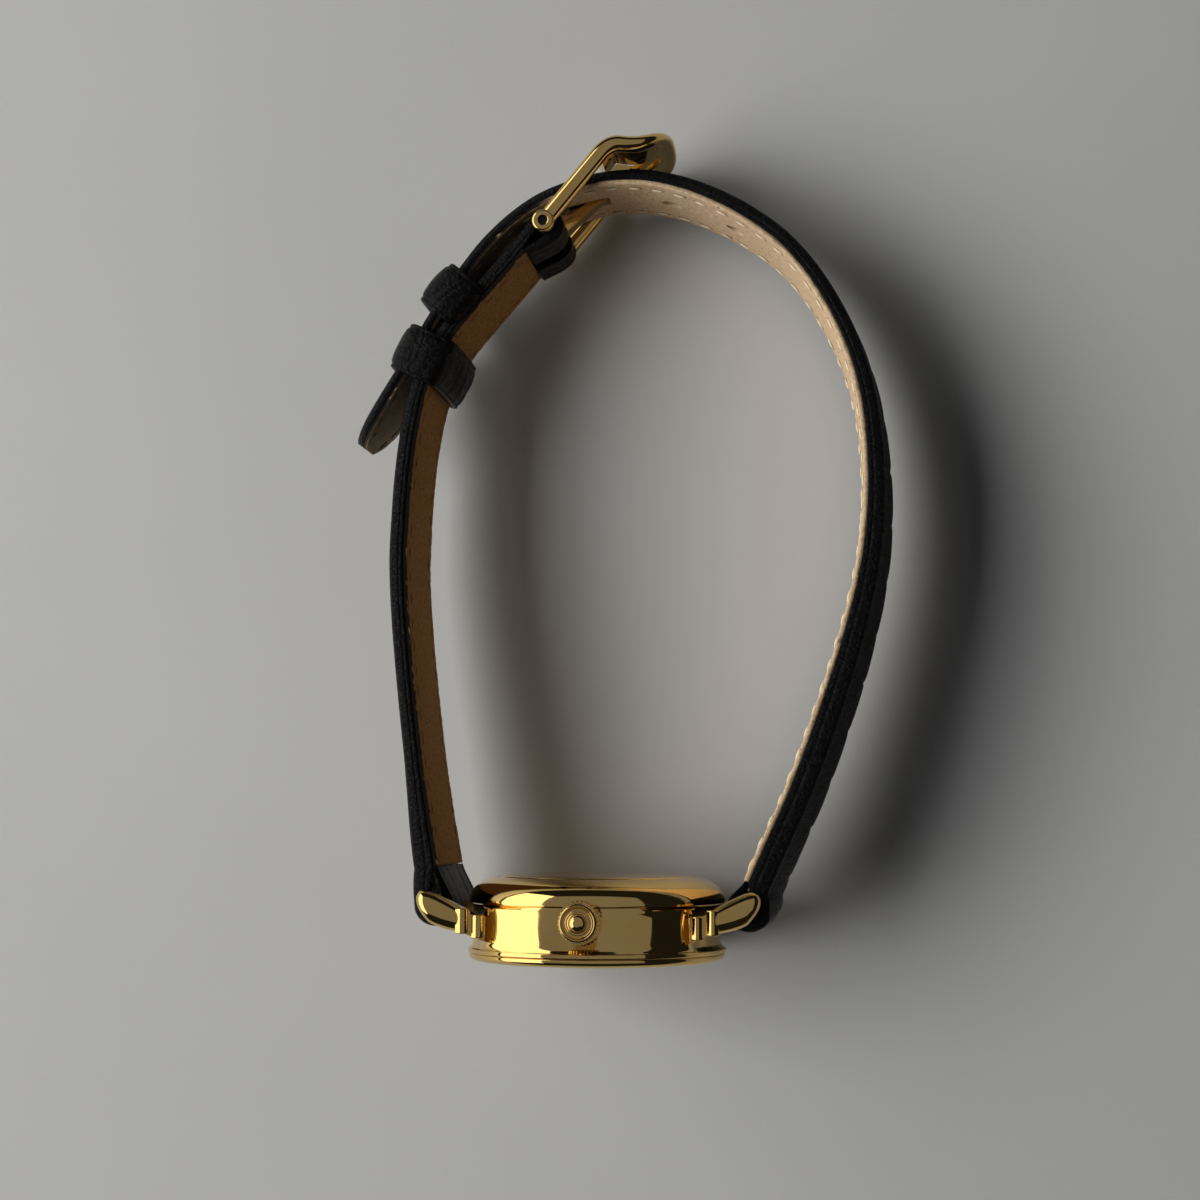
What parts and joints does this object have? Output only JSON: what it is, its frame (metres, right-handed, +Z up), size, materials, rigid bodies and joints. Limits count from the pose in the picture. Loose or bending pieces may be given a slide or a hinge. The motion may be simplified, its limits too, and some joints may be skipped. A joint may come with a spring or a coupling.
{
  "type": "wristwatch",
  "caption": "Small round gold-plated quartz dress watch on a narrow padded leather strap, buckled shut, with an openable tang buckle, pull-out crown, geared hands and sprung lug bars.",
  "frame": {"origin": "centre of the caseback's flat outer face, where the watch lies on the wrist", "axes": "+X towards six o'clock, +Y out of the caseback through the strap's loop towards the buckle, +Z up towards the crown; the watch lies on its side, leaned 3.7 degrees about X so that the case's rim and the buckle's side stand on one plane"},
  "size_m": [0.0494, 0.0763, 0.0265],
  "materials": {
    "gold_plate": "polished gold plate",
    "crystal_glass": "clear polished",
    "clear_gasket": "satin",
    "black_rubber": "matte",
    "steel": "fine brushed",
    "battery_steel": "satin",
    "brass": "satin",
    "contact_brass": "satin",
    "ring_plastic": "moulded",
    "copper_coil": "enamelled copper wire",
    "stator_alloy": "satin",
    "green_board": "solder mask",
    "dial_enamel": "satin lacquer",
    "black_leather": "embossed, semi-gloss",
    "suede_lining": "suede"
  },
  "bodies": {
    "watch": {"case_middle": "gold_plate", "bezel": "gold_plate", "crystal": "crystal_glass", "crystal_gasket": "clear_gasket", "caseback": "gold_plate", "caseback_gasket": "black_rubber", "crown_tube": "gold_plate", "movement_ring": "ring_plastic", "main_plate": "brass", "train_bridge": "steel", "bridge_screws": "steel", "battery": "battery_steel", "battery_clamp": "contact_brass", "coil": "copper_coil", "stator": "stator_alloy", "circuit_board": "green_board", "quartz_can": "steel", "dial": "dial_enamel", "hour_markers": "gold_plate", "spring_bar_12": "steel", "spring_bar_6": "steel", "short_strap_leather": "black_leather", "short_strap_lining": "suede_lining", "long_strap_leather": "black_leather", "long_strap_lining": "suede_lining", "fixed_keeper": "black_leather", "buckle_bar": "steel"},
    "setting_lever": {"setting_lever": "steel"},
    "crown_stem": {"crown": "gold_plate", "crown_gasket": "black_rubber", "setting_stem": "steel", "sliding_pinion": "steel"},
    "minute_works": {"centre_wheel": "brass", "cannon_pinion": "steel", "minute_hand": "gold_plate"},
    "hour_works": {"hour_wheel": "brass", "hour_hand": "gold_plate"},
    "minute_wheel": {"minute_wheel": "brass"},
    "third_wheel": {"third_wheel": "brass"},
    "intermediate_wheel": {"intermediate_wheel": "brass"},
    "rotor": {"rotor": "steel"},
    "free_keeper": {"free_keeper": "black_leather"},
    "buckle": {"buckle_frame": "gold_plate"},
    "tongue": {"buckle_tongue": "gold_plate"},
    "plunger_12_near": {"plunger_12_near": "steel"},
    "plunger_12_far": {"plunger_12_far": "steel"},
    "plunger_6_near": {"plunger_6_near": "steel"},
    "plunger_6_far": {"plunger_6_far": "steel"}
  },
  "joints": [
    {"name": "crown_pull", "type": "slide", "parent": "watch", "child": "setting_lever", "axis": [0, 0.064, 0.998], "range_m": [0, 0.0009]},
    {"name": "crown_turn", "type": "hinge", "parent": "setting_lever", "child": "crown_stem", "pos_m": [0, -0.00359, 0.00023], "axis": [0, 0.064, 0.998], "continuous": true},
    {"name": "minute_hand_turn", "type": "hinge", "parent": "watch", "child": "minute_works", "pos_m": [0, -0.00359, 0.00023], "axis": [0, 0.998, -0.064], "continuous": true},
    {"name": "hour_hand_turn", "type": "hinge", "parent": "watch", "child": "hour_works", "pos_m": [0, -0.00359, 0.00023], "axis": [0, 0.998, -0.064], "continuous": true},
    {"name": "minute_wheel_turn", "type": "hinge", "parent": "watch", "child": "minute_wheel", "pos_m": [0.0012, -0.00346, 0.0023], "axis": [0, 0.998, -0.064], "continuous": true},
    {"name": "third_wheel_turn", "type": "hinge", "parent": "watch", "child": "third_wheel", "pos_m": [-0.00226, -0.00365, -0.00059], "axis": [0, 0.998, -0.064], "continuous": true},
    {"name": "intermediate_wheel_turn", "type": "hinge", "parent": "watch", "child": "intermediate_wheel", "pos_m": [-0.00304, -0.00378, -0.00275], "axis": [0, 0.998, -0.064], "continuous": true},
    {"name": "rotor_turn", "type": "hinge", "parent": "watch", "child": "rotor", "pos_m": [-0.00528, -0.00378, -0.00275], "axis": [0, 0.998, -0.064], "continuous": true},
    {"name": "free_keeper_slide", "type": "slide", "parent": "watch", "child": "free_keeper", "axis": [0.4352, 0.8985, -0.0576], "range_m": [-0.0003, 0.0008]},
    {"name": "buckle_lift", "type": "hinge", "parent": "watch", "child": "buckle", "pos_m": [-0.0044, 0.05898, -0.00378], "axis": [0, 0.064, 0.998], "range_deg": [0, 7]},
    {"name": "tongue_swing", "type": "hinge", "parent": "buckle", "child": "tongue", "pos_m": [-0.0044, 0.05898, -0.00378], "axis": [0, 0.064, 0.998], "range_deg": [0, 5]},
    {"name": "plunger_12_near_press", "type": "slide", "parent": "watch", "child": "plunger_12_near", "axis": [0, -0.064, -0.998], "range_m": [0, 0.001], "stiffness_N_per_m": 600},
    {"name": "plunger_12_far_press", "type": "slide", "parent": "watch", "child": "plunger_12_far", "axis": [0, 0.064, 0.998], "range_m": [0, 0.001], "stiffness_N_per_m": 600},
    {"name": "plunger_6_near_press", "type": "slide", "parent": "watch", "child": "plunger_6_near", "axis": [0, -0.064, -0.998], "range_m": [0, 0.001], "stiffness_N_per_m": 600},
    {"name": "plunger_6_far_press", "type": "slide", "parent": "watch", "child": "plunger_6_far", "axis": [0, 0.064, 0.998], "range_m": [0, 0.001], "stiffness_N_per_m": 600}
  ],
  "couplings": [
    {"joint": "hour_hand_turn", "follows": "minute_hand_turn", "ratio": 0.083333},
    {"joint": "minute_wheel_turn", "follows": "minute_hand_turn", "ratio": -0.33333},
    {"joint": "third_wheel_turn", "follows": "minute_hand_turn", "ratio": -5},
    {"joint": "intermediate_wheel_turn", "follows": "minute_hand_turn", "ratio": 18},
    {"joint": "rotor_turn", "follows": "minute_hand_turn", "ratio": -108}
  ]
}
